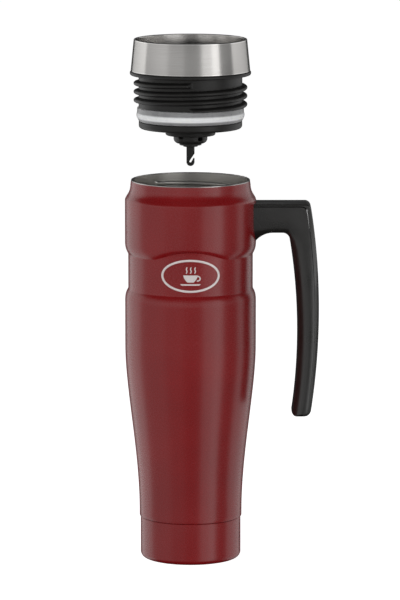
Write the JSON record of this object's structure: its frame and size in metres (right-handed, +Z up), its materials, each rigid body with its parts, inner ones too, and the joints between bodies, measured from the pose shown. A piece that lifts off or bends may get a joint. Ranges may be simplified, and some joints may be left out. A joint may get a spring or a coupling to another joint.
{
  "type": "insulated travel mug",
  "caption": "Tall double-walled steel travel mug with an open-ended side handle and a screw lid with a press lever, push-open valve and tea hook.",
  "frame": {"origin": "middle of the flat base, where the mug stands", "axes": "+Z up along the mug's axis, +X towards the handle, the badge faces -Y"},
  "size_m": [0.1124, 0.076, 0.304],
  "materials": {
    "red_paint": "satin powder coat",
    "steel_liner": "satin, electropolished inside",
    "steel_inner": "plain",
    "collar_steel": "fine vertical sheen",
    "badge": "pale satin",
    "solder": "dull",
    "black_plastic": "fine moulded texture",
    "handle_plastic": "fine moulded texture",
    "duct_plastic": "natural",
    "foam": "closed-cell foam",
    "silicone": "translucent, smooth",
    "screw_steel": "plain",
    "spring_steel": "drawn wire"
  },
  "bodies": {
    "mug": {"outer_shell": "red_paint", "inner_liner": "steel_liner", "rim_lip": "collar_steel", "base_cup": "red_paint", "base_disc": "steel_inner", "evacuation_seal": "solder", "getter": "solder", "badge_outline": "badge", "badge_icon": "badge", "handle_bracket": "steel_inner", "handle_body": "handle_plastic", "handle_spine_cover": "handle_plastic", "handle_screws": "screw_steel"},
    "seal_ring": {"main_gasket": "silicone"},
    "lid": {"lid_collar": "collar_steel", "stopper_body": "black_plastic", "lower_cap": "black_plastic", "lid_deck": "black_plastic", "drink_channel": "duct_plastic", "lid_insulation": "foam", "spring_cage": "black_plastic", "tea_hook": "black_plastic", "lever_pin": "screw_steel", "valve_spring": "spring_steel"},
    "lever": {"lever": "black_plastic", "spout_seal": "silicone"},
    "valve": {"valve_stem": "black_plastic", "valve_seal": "silicone"}
  },
  "joints": [
    {"name": "lid_lift", "type": "slide", "parent": "mug", "child": "seal_ring", "axis": [0, 0, 1], "range_m": [-0.0605, 0]},
    {"name": "lid_turn", "type": "hinge", "parent": "seal_ring", "child": "lid", "pos_m": [0, 0, 0.2832], "axis": [0, 0, 1], "range_deg": [-4445, 0]},
    {"name": "lever_press", "type": "hinge", "parent": "lid", "child": "lever", "pos_m": [-0.01, 0, 0.2947], "axis": [0, 1, 0], "range_deg": [0, 14], "stiffness_Nm_per_rad": 0.06},
    {"name": "valve_slide", "type": "slide", "parent": "lid", "child": "valve", "axis": [0, 0, -1], "range_m": [0, 0.00244], "deforming": ["valve_spring"]}
  ],
  "couplings": [
    {"joint": "lid_turn", "follows": "lid_lift", "rad_per_m": 1282.3},
    {"joint": "lever_press", "follows": "valve_slide", "rad_per_m": 100}
  ]
}
